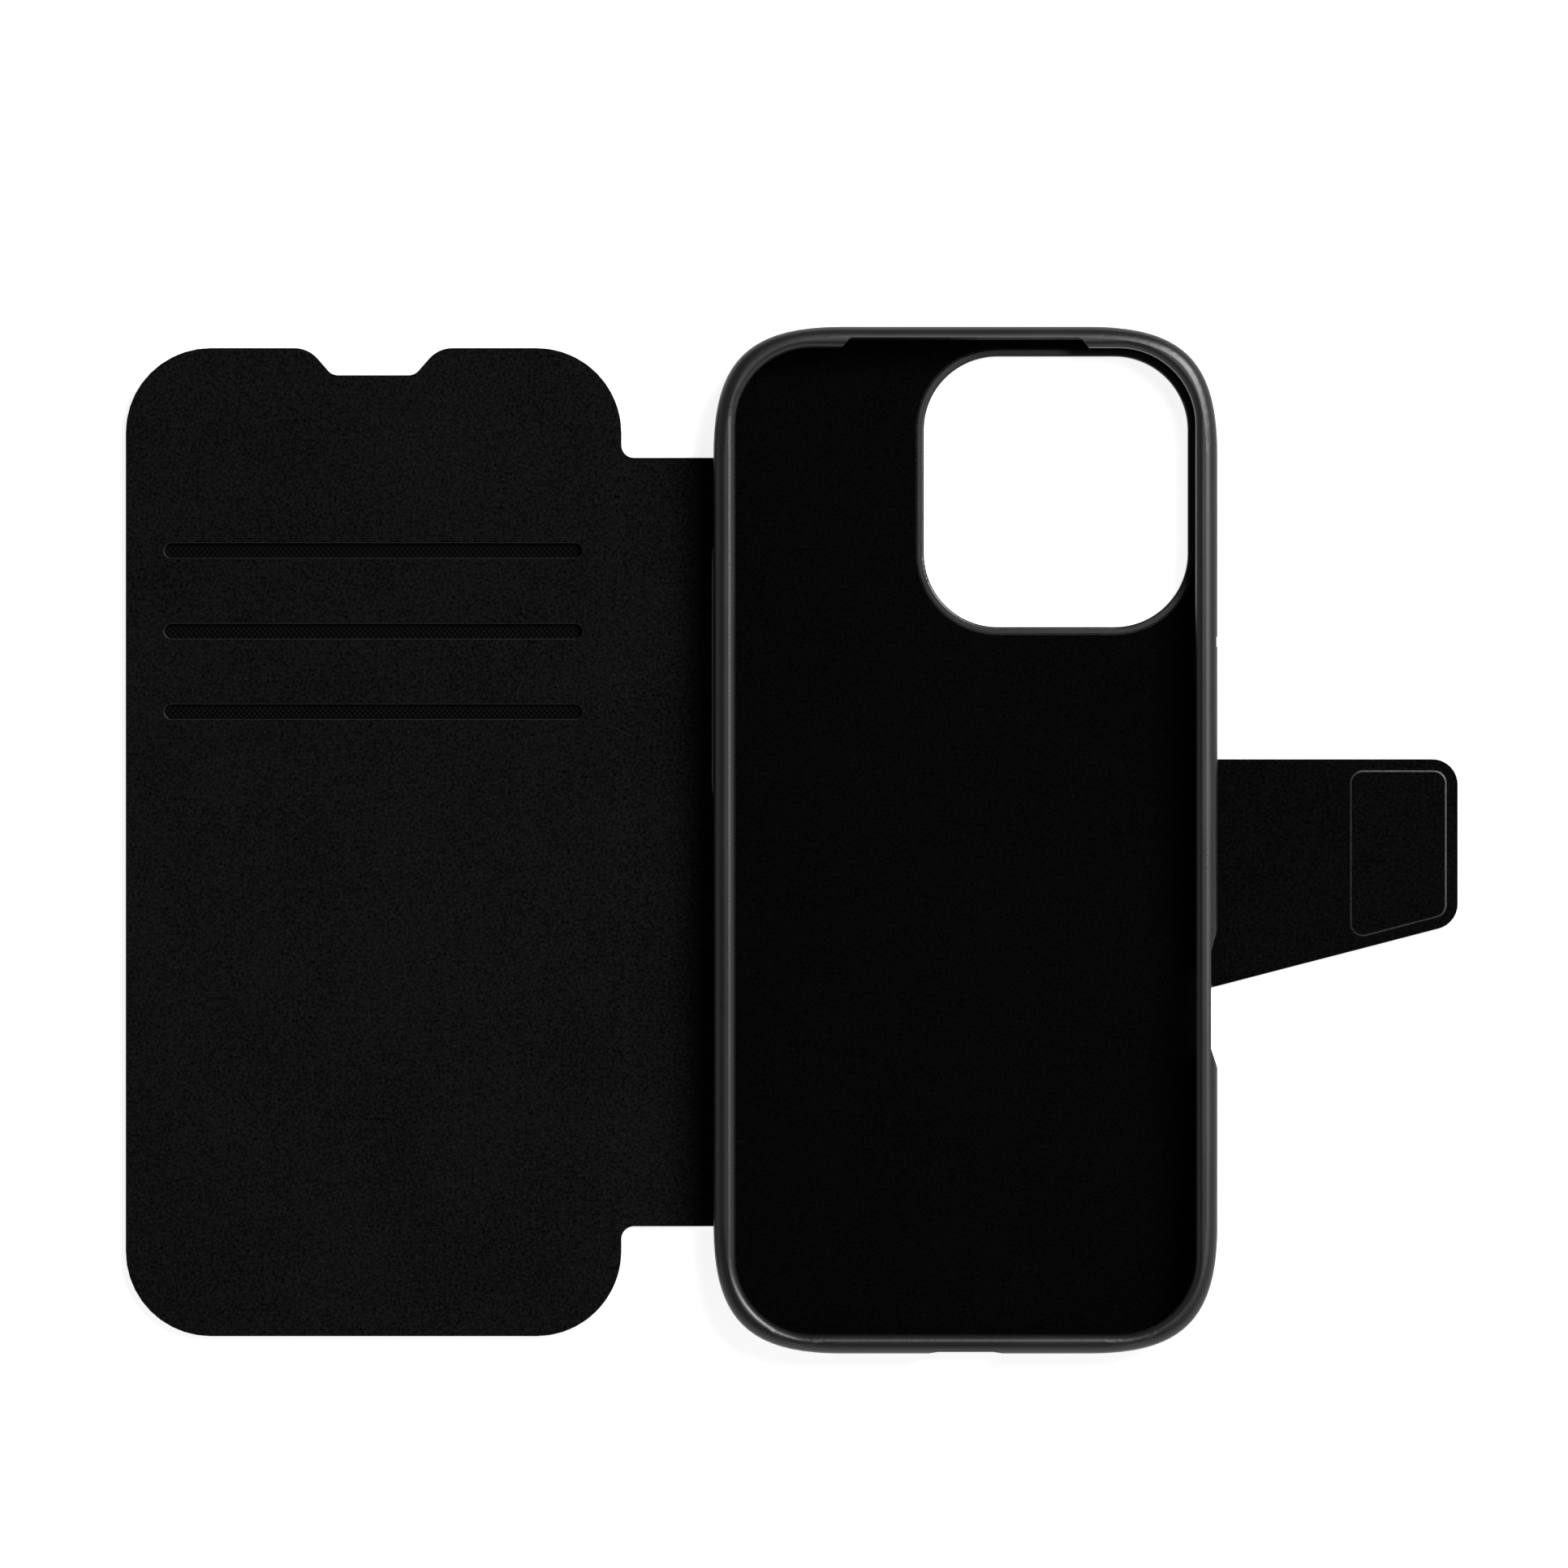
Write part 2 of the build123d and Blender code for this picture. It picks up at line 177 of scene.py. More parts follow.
def arc(radius):
    """A corner bend of that radius."""

    def bend(corner, before, after):
        half = before.angle(after) / 2
        centre = corner + (before + after).normalized() * (radius / math.sin(half))
        start = corner + before * (radius / math.tan(half)) - centre
        turn = math.pi - 2 * half
        if before.cross(after) > 0:
            turn = -turn
        steps = max(3, math.ceil(abs(turn) / ARC_STEP))
        points = []
        for i in range(steps + 1):
            spin = turn * i / steps
            c = math.cos(spin)
            s = math.sin(spin)
            points.append(centre + Vector((start.x * c - start.y * s, start.x * s + start.y * c)))
        return points

    return bend


def sharp(corner, before, after):
    """A corner with no bend."""
    return [corner]


def eased(inset):
    """A corner of the phone shell, drawn in by inset: a cubic curve that eases into the sides."""
    tangent = SHELL_TANGENT - SHELL_SHRINK * inset
    tip = tangent * (1 - SHELL_HANDLE)

    def bend(corner, before, after):
        a = corner + before * tangent
        b = corner + before * tip
        c = corner + after * tip
        d = corner + after * tangent
        points = []
        for i in range(EASE_STEPS + 1):
            t = i / EASE_STEPS
            u = 1 - t
            points.append(a * u**3 + b * (3 * u * u * t) + c * (3 * u * t * t) + d * t**3)
        return points

    return bend


def outline(corners):
    """A closed ring of points through (x, y, bend) corners."""
    spots = [Vector((x, y)) for x, y, _ in corners]
    bends = []
    for i, (*_, bend) in enumerate(corners):
        before = (spots[i - 1] - spots[i]).normalized()
        after = (spots[(i + 1) % len(spots)] - spots[i]).normalized()
        bends.append(bend(spots[i], before, after))
    ring = []
    for i, points in enumerate(bends):
        ring += points
        start = points[-1]
        run = bends[(i + 1) % len(bends)][0] - start
        pieces = max(1, round(run.length / SIDE_STEP))
        ring += [start + run * (k / pieces) for k in range(1, pieces)]
    return [p for i, p in enumerate(ring) if (p - ring[i - 1]).length > SAME_PLACE]


def clockwise(corners):
    """True if the corners run clockwise, seen from above."""
    area = 0
    for (x0, y0, _), (x1, y1, _) in zip(corners, corners[1:] + corners[:1]):
        area += x0 * y1 - x1 * y0
    return area < 0


def ring_of(corners):
    """The corners' outline, run anticlockwise as the outside of a sheet is."""
    ring = outline(corners)
    return ring[::-1] if clockwise(corners) else ring


def rectangle(low, high, bend):
    """Corners of a rectangle between two opposite ones, all with one bend, run anticlockwise."""
    x0, y0 = low[:2]
    x1, y1 = high[:2]
    return [(x0, y0, bend), (x1, y0, bend), (x1, y1, bend), (x0, y1, bend)]


def inwards(ring, distance):
    """The ring moved to its left, which is into the sheet for a ring that runs that way round."""
    moved = []
    for i, p in enumerate(ring):
        along = ring[(i + 1) % len(ring)] - ring[i - 1]
        left = Vector((-along.y, along.x)).normalized()
        moved.append(p + left * distance)
    return moved


def flap_corners():
    """Corners of the flap, from its notch round the free side and back to the spine."""
    low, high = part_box("flap_lining")
    notch_floor = high.y - NOTCH_DEPTH
    return [
        (high.x, high.y, arc(FLAP_CORNER)),
        (SLOT_X + NOTCH_HALF_TOP, high.y, arc(NOTCH_OUTER_ROUND)),
        (SLOT_X + NOTCH_HALF_FLOOR, notch_floor, arc(NOTCH_INNER_ROUND)),
        (SLOT_X - NOTCH_HALF_FLOOR, notch_floor, arc(NOTCH_INNER_ROUND)),
        (SLOT_X - NOTCH_HALF_TOP, high.y, arc(NOTCH_OUTER_ROUND)),
        (low.x, high.y, arc(FLAP_CORNER)),
        (low.x, low.y, arc(FLAP_CORNER)),
        (high.x, low.y, arc(FLAP_CORNER)),
    ]


def strap_low(x):
    """Height of the strap's slanting lower edge."""
    return STRAP_LOW_Y + (x - STRAP_LOW_X) * STRAP_SLOPE


def strap_corners():
    """Corners of the strap's end, lower one first."""
    low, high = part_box("strap_tab_lining")
    return [(high.x, strap_low(high.x), arc(STRAP_ROUND)), (high.x, high.y, arc(STRAP_ROUND))]


# ---------------------------------------------------------------- sheets


def smooth(x, start, end):
    """0 before start, 1 after end, and a smooth climb between them."""
    t = min(1, max(0, (x - start) / (end - start)))
    return t * t * (3 - 2 * t)


def ripple(x, y, seed):
    """A very small unevenness, as a glued sheet has."""
    return RIPPLE * noise.noise(Vector((x / RIPPLE_LENGTH, y / RIPPLE_LENGTH, seed)))


def level(z):
    """A surface at one height."""
    return lambda x, y: z


def segments(rings):
    """Start and end points of every edge of the rings."""
    starts = np.array([p for ring in rings for p in ring])
    ends = np.array([p for ring in rings for p in ring[1:] + ring[:1]])
    return starts, ends


def gaps(points, starts, ends):
    """Each point's distance to the nearest edge."""
    along = ends - starts
    to = points[:, None, :] - starts
    share = np.clip((to * along).sum(2) / (along * along).sum(1), 0, 1)
    return np.linalg.norm(to - along * share[:, :, None], axis=2).min(1)


def inside(points, starts, ends):
    """True for each point whose line to the right crosses the edges an odd number of times."""
    x = points[:, None, 0]
    y = points[:, None, 1]
    spans = (starts[:, 1] > y) != (ends[:, 1] > y)
    rise = ends[:, 1] - starts[:, 1]
    slope = (ends[:, 0] - starts[:, 0]) / np.where(rise == 0, 1, rise)
    crossing = starts[:, 0] + (y - starts[:, 1]) * slope
    return (spans & (crossing > x)).sum(1) % 2 == 1


def batches(points):
    """The points as arrays of a few hundred, which keeps the work arrays small."""
    for i in range(0, len(points), BATCH):
        yield np.array(points[i:i + BATCH])


def clear_of(points, rings, clearance):
    """Those points that lie inside the rings, holes left out, and clear of every edge."""
    edges = segments(rings)
    kept = []
    for batch in batches(points):
        fine = (gaps(batch, *edges) > clearance) & inside(batch, *edges)
        kept += batch[fine].tolist()
    return kept


def away_from(points, rings, clearance):
    """Those points that are clear of the rings, on either side of them."""
    edges = segments(rings)
    kept = []
    for batch in batches(points):
        kept += batch[gaps(batch, *edges) > clearance].tolist()
    return kept


def stations(low, high, step, folds=()):
    """Evenly spaced values, closer together through each fold."""
    values = [low + step * i for i in range(1, int((high - low) / step))]
    for start, end in folds:
        values = [v for v in values if not start - step / 2 < v < end + step / 2]
        count = math.ceil((end - start) / FOLD_STEP)
        values += [start + (end - start) * i / count for i in range(count + 1)]
    return sorted(v for v in values if low < v < high)


class Sheet:
    """A closed sheet between the surfaces under(x, y) and over(x, y), with rounded cut edges.

    The first ring is its outline and the others are holes. It has more vertices through each fold
    along X, and each crease is a ring on its upper side with how far that is raised.
    """

    def __init__(self, name, rings, under, over, edge, folds=(), creases=(), hole_edge=None):
        self.bm = bmesh.new()
        self.name = name
        self.under = under
        self.over = over
        self.edge_faces = []
        lower = []
        upper = []
        for number, ring in enumerate(rings):
            r = (hole_edge or edge) if number else edge
            below, above = self.wall(ring, r)
            lower.append(below)
            upper.append(above)
        xs = [p.x for p in rings[0]]
        ys = [p.y for p in rings[0]]
        columns = stations(min(xs), max(xs), GRID_STEP, folds)
        rows = stations(min(ys), max(ys), GRID_STEP)
        inner = [inwards(ring, edge + EDGE_GUARD) for ring in rings]
        spots = clear_of([(x, y) for x in columns for y in rows], inner, CLEAR)
        self.fill(lower, spots, -1, [])
        if creases:
            spots = away_from(spots, [loop for loop, _ in creases], CLEAR)
        self.fill(upper, spots, 1, creases)
        bmesh.ops.recalc_face_normals(self.bm, faces=self.bm.faces)

    def height(self, x, y, side, lift):
        """Height on the lower (-1) or upper (1) surface, lifted into the sheet."""
        low = self.under(x, y)
        high = self.over(x, y)
        lift = min(lift, MOST_LIFT * (high - low))
        return low + lift if side < 0 else high - lift

    def wall(self, ring, r):
        """The rounded edge along one ring; gives the innermost vertices below and above."""
        profile = [(r + EDGE_GUARD, 0)]
        for degrees in EDGE_ANGLES:
            a = math.radians(degrees)
            profile.append((r * (1 - math.sin(a)), r * (1 - math.cos(a))))
        steps = [(inset, -1, lift) for inset, lift in profile]
        steps += [(inset, 1, lift) for inset, lift in reversed(profile)]
        loops = []
        for inset, side, lift in steps:
            places = [(p.x, p.y) for p in inwards(ring, inset)]
            spots = [(x, y, self.height(x, y, side, lift)) for x, y in places]
            loops.append([self.bm.verts.new(spot) for spot in spots])
        count = len(ring)
        bands = []
        for a, b in zip(loops, loops[1:]):
            corners = [(i, (i + 1) % count) for i in range(count)]
            bands.append([self.bm.faces.new((a[i], a[k], b[k], b[i])) for i, k in corners])
        self.edge_faces.append([face for band in bands[1:-1] for face in band])
        return loops[0], loops[-1]

    def fill(self, borders, spots, side, creases):
        """Triangles between the border loops, over the grid spots and along the creases, but none
        that lies across a hole."""
        verts = [v for loop in borders for v in loop]
        edges = []
        offset = 0
        for loop in borders:
            count = len(loop)
            edges += [(offset + i, offset + (i + 1) % count) for i in range(count)]
            offset += count
        for x, y in spots:
            verts.append(self.bm.verts.new((x, y, self.height(x, y, side, 0))))
        offset = len(verts)
        for loop, rise in creases:
            count = len(loop)
            for p in loop:
                verts.append(self.bm.verts.new((p.x, p.y, self.height(p.x, p.y, side, 0) + rise)))
            edges += [(offset + i, offset + (i + 1) % count) for i in range(count)]
            offset += count
        flat = [Vector((v.co.x, v.co.y)) / MM for v in verts]
        hole_of = {v: number for number, loop in enumerate(borders) for v in loop if number}
        triangles, origins = delaunay_2d_cdt(flat, edges, [], INSIDE_LOOPS, EPSILON)[2:4]
        for triangle in triangles:
            corners = [verts[origins[i][0]] for i in triangle]
            holes = {hole_of.get(v) for v in corners}
            if len(holes) > 1 or None in holes:
                self.bm.faces.new(corners)

    def finish(self, *materials):
        """The sheet as an object in the scene."""
        mesh = bpy.data.meshes.new(self.name)
        for face in self.bm.faces:
            face.smooth = True
        self.bm.to_mesh(mesh)
        self.bm.free()
        for m in materials:
            mesh.materials.append(m)
        piece = bpy.data.objects.new(self.name, mesh)
        bpy.context.scene.collection.objects.link(piece)
        return piece


def divided(piece, name, low, high):
    """The part of a piece between two stations along X, closed and sharp where it is divided."""
    bm = bmesh.new()
    bm.from_mesh(piece.data)
    for x, keep_right in ((low, True), (high, False)):
        if x is None:
            continue
        geometry = bm.verts[:] + bm.edges[:] + bm.faces[:]
        cut = {"plane_co": (x, 0, 0), "plane_no": (1, 0, 0)}
        clear = {"clear_inner": keep_right, "clear_outer": not keep_right}
        bmesh.ops.bisect_plane(bm, geom=geometry, **cut, **clear)
        border = [e for e in bm.edges if e.is_boundary]
        made = bmesh.ops.holes_fill(bm, edges=border, sides=0)["faces"]
        bmesh.ops.triangulate(bm, faces=made)
        for e in border:
            e.smooth = False
    mesh = bpy.data.meshes.new(name)
    bm.to_mesh(mesh)
    bm.free()
    for m in piece.data.materials:
        mesh.materials.append(m)
    part = bpy.data.objects.new(name, mesh)
    bpy.context.scene.collection.objects.link(part)
    return part


def fold(piece, nodes):
    """Bakes a piece's placement into its mesh and lets it stand for its CAD nodes by hiding them.
    """
    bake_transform(piece)
    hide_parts(*nodes)


# ---------------------------------------------------------------- materials


def material(name, **sockets):
    """A new material whose Principled sockets have these values."""
    made = bpy.data.materials.new(name)
    made.use_nodes = True
    shader = made.node_tree.nodes["Principled BSDF"]
    for socket, value in sockets.items():
        shader.inputs[socket.replace("_", " ")].default_value = value
    return made, made.node_tree, shader


def grey(value, tint=0.0):
    """A grey, a little bluer where it is tinted."""
    return (value, value, value * (1 + tint), 1)


def node(tree, kind, inputs=None, **settings):
    """A node with its properties set, and each named input set to a value or linked to a socket."""
    made = tree.nodes.new(kind)
    for key, value in settings.items():
        setattr(made, key, value)
    for key, value in (inputs or {}).items():
        if isinstance(value, bpy.types.NodeSocket):
            tree.links.new(value, made.inputs[key])
        else:
            made.inputs[key].default_value = value
    return made


def place_of(tree):
    """The place on the piece, in metres."""
    return node(tree, "ShaderNodeTexCoord").outputs["Object"]


def grain(tree, place, size, detail=2.0, roughness=0.5, stretch=(1, 1, 1)):
    """Noise whose lumps are about size across."""
    mapped = node(tree, "ShaderNodeMapping", {"Vector": place, "Scale": stretch})
    inputs = {
        "Vector": mapped.outputs["Vector"],
        "Scale": 0.5 / size,
        "Detail": detail,
        "Roughness": roughness,
    }
    return node(tree, "ShaderNodeTexNoise", inputs).outputs["Fac"]


def ramp(tree, factor, stops):
    """A colour ramp through (position, grey) stops."""
    made = node(tree, "ShaderNodeValToRGB", {"Fac": factor})
    elements = made.color_ramp.elements
    while len(elements) < len(stops):
        elements.new(0.5)
    for element, (position, value) in zip(elements, stops):
        element.position = position
        element.color = grey(value)
    return made.outputs["Color"]


def between(tree, factor, span, low=0.0, high=1.0):
    """The factor's values over a span, stretched to run from low to high."""
    inputs = {0: factor, 1: span[0], 2: span[1], 3: low, 4: high}
    return node(tree, "ShaderNodeMapRange", inputs).outputs["Result"]


def spread(tree, factor, low, high):
    """The factor's middle range, stretched to run from low to high."""
    return between(tree, factor, MIDDLE, low, high)


def math_of(tree, operation, a, b=0.0):
    """The result of one sum, product or other operation."""
    return node(tree, "ShaderNodeMath", {0: a, 1: b}, operation=operation).outputs["Value"]


def relief(tree, shader, height, depth, strength=1.0):
    """Bumps whose full height is depth, in metres."""
    inputs = {"Height": height, "Distance": depth, "Strength": strength}
    bump = node(tree, "ShaderNodeBump", inputs)
    tree.links.new(bump.outputs["Normal"], shader.inputs["Normal"])


def microfibre(name, dark, light, specular):
    """Fine suede-like fabric: tiny tufts, and a nap that lies differently from place to place."""
    made, tree, shader = material(name, Roughness=0.95, Specular_IOR_Level=specular)
    shader.inputs["Sheen Weight"].default_value = 0.3
    shader.inputs["Sheen Roughness"].default_value = 0.35
    place = place_of(tree)
    tufts = grain(tree, place, 0.21 * MM, 1.0)
    nap = grain(tree, place, 9 * MM, 2.0)
    patch = math_of(tree, "MULTIPLY", nap, 0.15)
    tone = math_of(tree, "ADD", tufts, patch)
    tree.links.new(ramp(tree, tone, [(0.3, dark), (0.84, light)]), shader.inputs["Base Color"])
    relief(tree, shader, tufts, 0.05 * MM, 0.6)
    return made


def leather():
    """Black split leather with a fine pebble grain."""
    made, tree, shader = material("outer_leather", Specular_IOR_Level=0.35)
    place = place_of(tree)
    wander = grain(tree, place, 1.4 * MM, 2.0)
    inputs = {"Vector": place, "Scale": 1 / (0.75 * MM), "Randomness": 0.95}
    cells = node(tree, "ShaderNodeTexVoronoi", inputs, feature="DISTANCE_TO_EDGE")
    pebble = between(tree, cells.outputs["Distance"], (0.0, 0.28))
    pores = grain(tree, place, 0.12 * MM, 2.0)
    height = math_of(tree, "MULTIPLY", pores, 0.25)
    swell = math_of(tree, "MULTIPLY", wander, 0.35)
    total = math_of(tree, "ADD", math_of(tree, "ADD", pebble, height), swell)
    tree.links.new(ramp(tree, pebble, [(0.0, 0.003), (1.0, 0.008)]), shader.inputs["Base Color"])
    tree.links.new(spread(tree, wander, 0.42, 0.58), shader.inputs["Roughness"])
    relief(tree, shader, total, 0.06 * MM, 0.8)
    return made


def weave():
    """Open plain weave of the card pockets: threads over and under in a small checker."""
    made, tree, shader = material("pocket_weave", Roughness=0.7, Specular_IOR_Level=0.012)
    place = place_of(tree)
    split = node(tree, "ShaderNodeSeparateXYZ", {"Vector": place})
    turns_across = math_of(tree, "MULTIPLY", split.outputs["X"], 2 * math.pi / WEAVE_ACROSS)
    turns_along = math_of(tree, "MULTIPLY", split.outputs["Y"], 2 * math.pi / WEAVE_ALONG)
    across = math_of(tree, "SINE", turns_across)
    along = math_of(tree, "SINE", turns_along)
    checker = math_of(tree, "MULTIPLY", across, along)
    threads = between(tree, checker, (-0.6, 0.8))
    fibres = grain(tree, place, 0.08 * MM, 1.0)
    tone = math_of(tree, "MULTIPLY", threads, spread(tree, fibres, 0.6, 1.0))
    tree.links.new(ramp(tree, tone, [(0.15, 0.0002), (1.0, 0.0042)]), shader.inputs["Base Color"])
    relief(tree, shader, threads, 0.09 * MM, 0.9)
    return made


def moulded(name, tone, roughness, specular, texture, depth):
    """Moulded plastic or rubber with a fine spark-eroded surface and faint handling marks."""
    made, tree, shader = material(name, Base_Color=grey(tone, 0.04), Specular_IOR_Level=specular)
    place = place_of(tree)
    sparks = grain(tree, place, texture, 1.0)
    marks = grain(tree, place, 7 * MM, 3.0, 0.6)
    worn = spread(tree, marks, roughness - 0.025, roughness + 0.03)
    tree.links.new(worn, shader.inputs["Roughness"])
    relief(tree, shader, sparks, depth, 0.5)
    return made


def pressed():
    """The lining where it is pressed over the magnet's rim: fibres flattened and a little shiny."""
    made, tree, shader = material("pressed_line", Specular_IOR_Level=0.3)
    place = place_of(tree)
    fibres = grain(tree, place, 0.2 * MM, 2.0)
    tree.links.new(ramp(tree, fibres, [(0.3, 0.0006), (0.7, 0.002)]), shader.inputs["Base Color"])
    tree.links.new(spread(tree, fibres, 0.38, 0.6), shader.inputs["Roughness"])
    return made


def sealed_rim():
    """The heat-cut rim of a card slot."""
    made, tree, shader = material("slot_rim", Specular_IOR_Level=0.17)
    place = place_of(tree)
    fibres = grain(tree, place, 0.15 * MM, 1.0)
    tree.links.new(ramp(tree, fibres, [(0.3, 0.0006), (0.7, 0.002)]), shader.inputs["Base Color"])
    tree.links.new(spread(tree, fibres, 0.36, 0.5), shader.inputs["Roughness"])
    return made


def fibre_board():
    """Black pressed board in thin plies."""
    made, tree, shader = material("board", Roughness=0.85, Specular_IOR_Level=0.2)
    place = place_of(tree)
    plies = grain(tree, place, 0.3 * MM, 3.0, 0.6, (1, 1, 6))
    tree.links.new(ramp(tree, plies, [(0.3, 0.004), (0.7, 0.012)]), shader.inputs["Base Color"])
    relief(tree, shader, plies, 0.04 * MM, 0.6)
    return made


def metal(name, tone, roughness, stretch):
    """Metal with fine lines, or with an even cast look where the stretch is even."""
    made, tree, shader = material(name, Metallic=1.0)
    place = place_of(tree)
    lines = grain(tree, place, 0.5 * MM, 3.0, 0.6, stretch)
    shades = ramp(tree, lines, [(0.3, tone * 0.85), (0.7, tone)])
    polish = spread(tree, lines, roughness - 0.06, roughness + 0.06)
    tree.links.new(shades, shader.inputs["Base Color"])
    tree.links.new(polish, shader.inputs["Roughness"])
    relief(tree, shader, lines, 0.01 * MM, 0.4)
    return made


def paper_floor():
    """A pale sheet on a table that glows from below, which keeps shadows faint."""
    made, tree, shader = material("floor", Roughness=0.9, Specular_IOR_Level=0.1)
    shader.inputs["Emission Color"].default_value = grey(1.0)
    shader.inputs["Emission Strength"].default_value = FLOOR_GLOW
    fibres = grain(tree, place_of(tree), 1.5 * MM, 2.0)
    tree.links.new(ramp(tree, fibres, [(0.3, 0.295), (0.7, 0.305)]), shader.inputs["Base Color"])
    return made


LINING = microfibre("microfibre", 0.0, 0.0041, 0.01)
STRAP_LINING = microfibre("microfibre_strap", 0.0, 0.0018, 0.006)
# the seat is the flap lining's microfibre painted darker, as painted shade in the shell's deep well
SEAT_WITH_PAINTED_SHADE = microfibre("microfibre_seat_painted_shade", 0.0, 0.0010, 0.006)
LEATHER = leather()
WEAVE = weave()
PRESSED = pressed()
RIM = sealed_rim()
NODE_LOOKS = {
    "bumper_frame": moulded("tpu", 0.004, 0.35, 0.3, 0.14 * MM, 0.012 * MM),
    "camera_guard": moulded("guard_plastic", 0.005, 0.3, 0.3, 0.2 * MM, 0.008 * MM),
    "shell_back_plate": moulded("shell_plastic", 0.006, 0.5, 0.3, 0.2 * MM, 0.012 * MM),
    "flap_board": fibre_board(),
    "flap_steel_plate": metal("steel", 0.55, 0.35, (1, 14, 1)),
    "strap_magnet": metal("magnet", 0.5, 0.22, (1, 1, 1)),
}
NODE_LOOKS["pocket_frame"] = NODE_LOOKS["flap_board"]
NODE_LOOKS["strap_tab_core"] = NODE_LOOKS["flap_board"]
KEY_LOOK = moulded("key_plastic", 0.005, 0.32, 0.3, 0.16 * MM, 0.01 * MM)
for key in ("action_button", "volume_up_button", "volume_down_button", "side_button"):
    NODE_LOOKS[key] = KEY_LOOK


def dress_cad():
    """Gives each CAD node that stays its material."""
    for name, look in NODE_LOOKS.items():
        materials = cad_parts[name].data.materials
        materials.clear()
        materials.append(look)


# ---------------------------------------------------------------- pieces


def slot_ring(y):
    """The outline of one card slot, run clockwise because it is a hole."""
    half_tall = SLOT_TALL / 2
    low = (SLOT_X - SLOT_HALF, y - half_tall)
    high = (SLOT_X + SLOT_HALF, y + half_tall)
    ring = outline(rectangle(low, high, arc(half_tall * SLOT_END)))
    return ring[::-1]


def flap_and_spine_lining():
    """One microfibre sheet over the flap and the spine, tucked under the shell's wall."""
    flap_low, flap_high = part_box("flap_lining")
    spine_low, spine_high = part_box("spine_lining")
    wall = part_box("bumper_frame")[0].x
    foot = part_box("back_skin")[1].z
    tuck = wall + TUCK
    edge = flap_high.x
    corners = flap_corners()
    corners += [
        (edge, spine_low.y, arc(STEP_ROUND)),
        (tuck, spine_low.y, arc(TINY_ROUND)),
        (tuck, spine_high.y, arc(TINY_ROUND)),
        (edge, spine_high.y, arc(STEP_ROUND)),
    ]
    rings = [ring_of(corners)]
    rings += [slot_ring(y) for y in SLOTS_Y]

    def over(x, y):
        drop = (flap_high.z - spine_high.z) * smooth(x - edge, *FLAP_SLOPE)
        tucked = (spine_high.z - foot - TUCKED_THICKNESS) * smooth(x - wall, *TUCK_SLOPE)
        loose = 1 - smooth(x, wall - RIPPLE_FADE, wall)
        return flap_high.z - drop - tucked + ripple(x, y, 1.0) * loose

    def under(x, y):
        return flap_low.z - (flap_low.z - spine_low.z) * smooth(x - edge, *FLAP_UNDER_SLOPE)

    folds = (FLAP_FOLD, ROOT_FOLD)
    sheet = Sheet("lining", rings, under, over, LINING_EDGE, folds=folds, hole_edge=SLOT_EDGE)
    for slot_edge in sheet.edge_faces[1:]:
        for face in slot_edge:
            face.material_index = 1
    whole = sheet.finish(LINING, RIM)
    flap_part = divided(whole, "lining_flap", None, SPINE_SPLIT)
    spine_part = divided(whole, "lining_spine", SPINE_SPLIT, None)
    bpy.data.objects.remove(whole)
    fold(flap_part, ["flap_lining"])
    fold(spine_part, ["spine_lining"])
    return flap_part, spine_part


def patch_ring(grow):
    """The outline that the magnet presses into the lining."""
    low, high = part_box("strap_magnet")
    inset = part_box("strap_tab_lining")[1].x - high.x
    drop = (inset - grow) * math.hypot(1, STRAP_SLOPE)
    left = low.x - grow
    right = high.x + grow
    bend = arc(PATCH_ROUND + grow)
    corners = [
        (left, strap_low(left) + drop, bend),
        (right, strap_low(right) + drop, bend),
        (right, high.y + grow, bend),
        (left, high.y + grow, bend),
    ]
    return ring_of(corners)


def strap_lining():
    """The strap's lining, from under the shell to the tip, with the magnet's pressed outline."""
    root_low, root_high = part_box("strap_bridge_lining")
    tab_low, tab_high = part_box("strap_tab_lining")
    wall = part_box("bumper_frame")[1].x
    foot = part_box("back_skin")[1].z
    tuck = wall - TUCK
    bend = arc(TINY_ROUND)
    corners = [(tuck, strap_low(tuck), bend), *strap_corners(), (tuck, tab_high.y, bend)]

    def over(x, y):
        rise = (tab_high.z - root_high.z) * smooth(x - tab_low.x, *TIP_SLOPE)
        tucked = (root_high.z - foot - TUCKED_THICKNESS) * smooth(wall - x, *TUCK_SLOPE)
        return root_high.z + rise - tucked + ripple(x, y, 2.0) * smooth(x, wall, wall + RIPPLE_FADE)

    def under(x, y):
        return root_low.z + (tab_low.z - root_low.z) * smooth(x - tab_low.x, *TIP_UNDER_SLOPE)

    creases = [
        (patch_ring(PRESS_WIDTH / 2), 0.0),
        (patch_ring(-PRESS_WIDTH / 2), PRESS_DEPTH),
        (patch_ring(-PRESS_WIDTH / 2 - PRESS_FADE), 0.0),
    ]
    rings = [ring_of(corners)]
    folds = (STRAP_FOLD, TIP_FOLD)
    sheet = Sheet("strap", rings, under, over, LINING_EDGE, folds=folds, creases=creases)
    paint_press(sheet.bm)
    whole = sheet.finish(STRAP_LINING, PRESSED)
    root_part = divided(whole, "lining_strap_root", None, STRAP_SPLIT)
    tip_part = divided(whole, "lining_strap_tip", STRAP_SPLIT, None)
    bpy.data.objects.remove(whole)
    root_node = ["strap_bridge_lining"]
    fold(root_part, root_node)
    fold(tip_part, ["strap_tab_lining"])
    return root_part, tip_part


def paint_press(bm):
    """Gives the faces of the pressed line their own material."""
    band = segments([patch_ring(PRESS_WIDTH / 2), patch_ring(-PRESS_WIDTH / 2)])
    tab_low, tab_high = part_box("strap_tab_lining")
    middle = (tab_low.z + tab_high.z) / 2
    upper = [f for f in bm.faces if f.calc_center_median().z > middle]
    centres = [f.calc_center_median().xy for f in upper]
    for i, batch in enumerate(batches(centres)):
        for k in np.flatnonzero(inside(batch, *band)):
            upper[i * BATCH + k].material_index = 1


